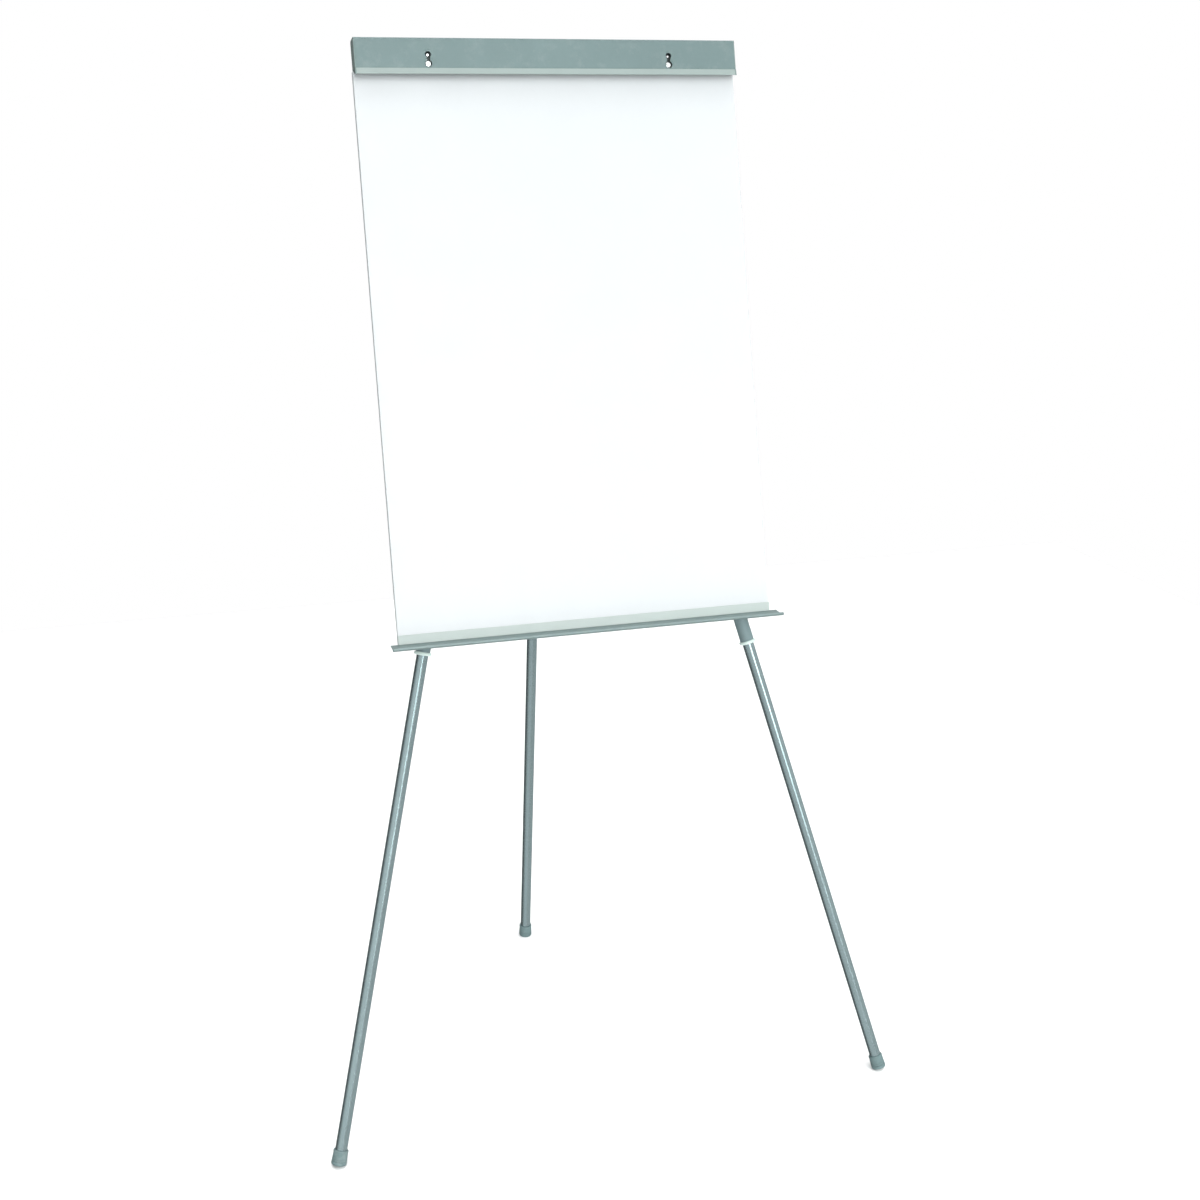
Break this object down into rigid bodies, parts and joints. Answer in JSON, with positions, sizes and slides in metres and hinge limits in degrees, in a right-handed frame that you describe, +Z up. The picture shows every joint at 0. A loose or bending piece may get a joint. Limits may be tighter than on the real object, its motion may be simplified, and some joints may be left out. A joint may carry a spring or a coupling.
{
  "type": "flipchart easel",
  "caption": "Tripod flipchart easel: white magnetic board with a hinged clamp bar and pad pegs, a pen ledge and telescopic twist-lock legs.",
  "frame": {"origin": "on the floor, at the centre of the easel's footprint box", "axes": "+Z up; the writing face looks towards -Y and leans back; +X to the reader's right"},
  "size_m": [1.0756, 0.7442, 1.9064],
  "materials": {
    "lacquer_white": "gloss white lacquer",
    "fibre_core": "raw fibreboard",
    "back_zinc": "satin foil",
    "bar_grey": "satin grey lacquer",
    "rail_grey": "satin anodised",
    "cap_dark": "matt grey",
    "tube_grey": "satin grey lacquer",
    "bush_light": "light grey",
    "foot_grey": "matt grey",
    "knuckle_dark": "matt dark grey",
    "lock_nylon": "natural",
    "tray_grey": "satin grey lacquer",
    "strip_light": "satin light grey",
    "bracket_grey": "satin grey lacquer",
    "steel": "zinc plated",
    "peg_bright": "polished",
    "grip_rubber": "black"
  },
  "bodies": {
    "board": {"back_sheet": "back_zinc", "board_core": "fibre_core", "clamp_rail": "rail_grey", "clamp_spring_left": "steel", "clamp_spring_right": "steel", "head_bracket": "bracket_grey", "head_screw_1": "steel", "head_screw_2": "steel", "head_screw_3": "steel", "head_screw_4": "steel", "left_clip_screw": "steel", "left_leg_clip": "knuckle_dark", "left_pivot_bolt": "steel", "left_pivot_nut": "steel", "pad_peg_left": "peg_bright", "pad_peg_right": "peg_bright", "pad_pin_left": "peg_bright", "pad_pin_right": "peg_bright", "pen_tray": "tray_grey", "rear_hinge_pin": "steel", "right_clip_screw": "steel", "right_leg_clip": "knuckle_dark", "right_pivot_bolt": "steel", "right_pivot_nut": "steel", "tray_plug_left": "cap_dark", "tray_plug_right": "cap_dark", "tray_screw_1": "steel", "tray_screw_2": "steel", "tray_screw_3": "steel", "tray_strip": "strip_light", "writing_surface": "lacquer_white"},
    "clamp": {"clamp_bar": "bar_grey", "clamp_end_cap_left": "cap_dark", "clamp_end_cap_right": "cap_dark", "clamp_lip": "strip_light", "grip_strip": "grip_rubber"},
    "left_upper": {"left_guide_bush": "bush_light", "left_leg_knuckle": "knuckle_dark", "left_upper_tube": "tube_grey"},
    "left_lock": {"left_lock_ring": "lock_nylon"},
    "left_lower": {"left_foot": "foot_grey", "left_lock_cam": "lock_nylon", "left_lower_tube": "tube_grey"},
    "right_upper": {"right_guide_bush": "bush_light", "right_leg_knuckle": "knuckle_dark", "right_upper_tube": "tube_grey"},
    "right_lock": {"right_lock_ring": "lock_nylon"},
    "right_lower": {"right_foot": "foot_grey", "right_lock_cam": "lock_nylon", "right_lower_tube": "tube_grey"},
    "rear_upper": {"rear_guide_bush": "bush_light", "rear_leg_knuckle": "knuckle_dark", "rear_upper_tube": "tube_grey"},
    "rear_lock": {"rear_lock_ring": "lock_nylon"},
    "rear_lower": {"rear_foot": "foot_grey", "rear_lock_cam": "lock_nylon", "rear_lower_tube": "tube_grey"}
  },
  "joints": [
    {"name": "clamp_swing", "type": "hinge", "parent": "board", "child": "clamp", "pos_m": [0, 0.10629, 1.892], "axis": [-1, 0, 0], "range_deg": [0, 62], "stiffness_Nm_per_rad": 0.35, "springref_deg": -34.38},
    {"name": "left_leg_swing", "type": "hinge", "parent": "board", "child": "left_upper", "pos_m": [-0.04558, 0.12208, 1.86519], "axis": [0, -0.9681, 0.2504], "range_deg": [0, 14]},
    {"name": "left_leg_slide", "type": "slide", "parent": "left_upper", "child": "left_lock", "axis": [-0.2419, -0.2429, -0.9394], "range_m": [-0.882, 0.022]},
    {"name": "left_leg_twist", "type": "hinge", "parent": "left_lock", "child": "left_lower", "pos_m": [-0.52514, -0.3595, 0.00307], "axis": [0.2419, 0.2429, 0.9394], "range_deg": [0, 90]},
    {"name": "right_leg_swing", "type": "hinge", "parent": "board", "child": "right_upper", "pos_m": [0.05456, 0.11306, 1.83034], "axis": [0, 0.9681, -0.2504], "range_deg": [0, 14]},
    {"name": "right_leg_slide", "type": "slide", "parent": "right_upper", "child": "right_lock", "axis": [0.2419, -0.2429, -0.9394], "range_m": [-0.845, 0.059]},
    {"name": "right_leg_twist", "type": "hinge", "parent": "right_lock", "child": "right_lower", "pos_m": [0.52514, -0.3595, 0.00307], "axis": [-0.2419, 0.2429, 0.9394], "range_deg": [0, 90]},
    {"name": "rear_leg_swing", "type": "hinge", "parent": "board", "child": "rear_upper", "pos_m": [0, 0.12199, 1.82493], "axis": [-1, 0, 0], "range_deg": [0, 21.9]},
    {"name": "rear_leg_slide", "type": "slide", "parent": "rear_upper", "child": "rear_lock", "axis": [0, 0.1288, -0.9917], "range_m": [-0.739, 0.165]},
    {"name": "rear_leg_twist", "type": "hinge", "parent": "rear_lock", "child": "rear_lower", "pos_m": [0, 0.35893, 0.00061], "axis": [0, -0.1288, 0.9917], "range_deg": [0, 90]}
  ]
}
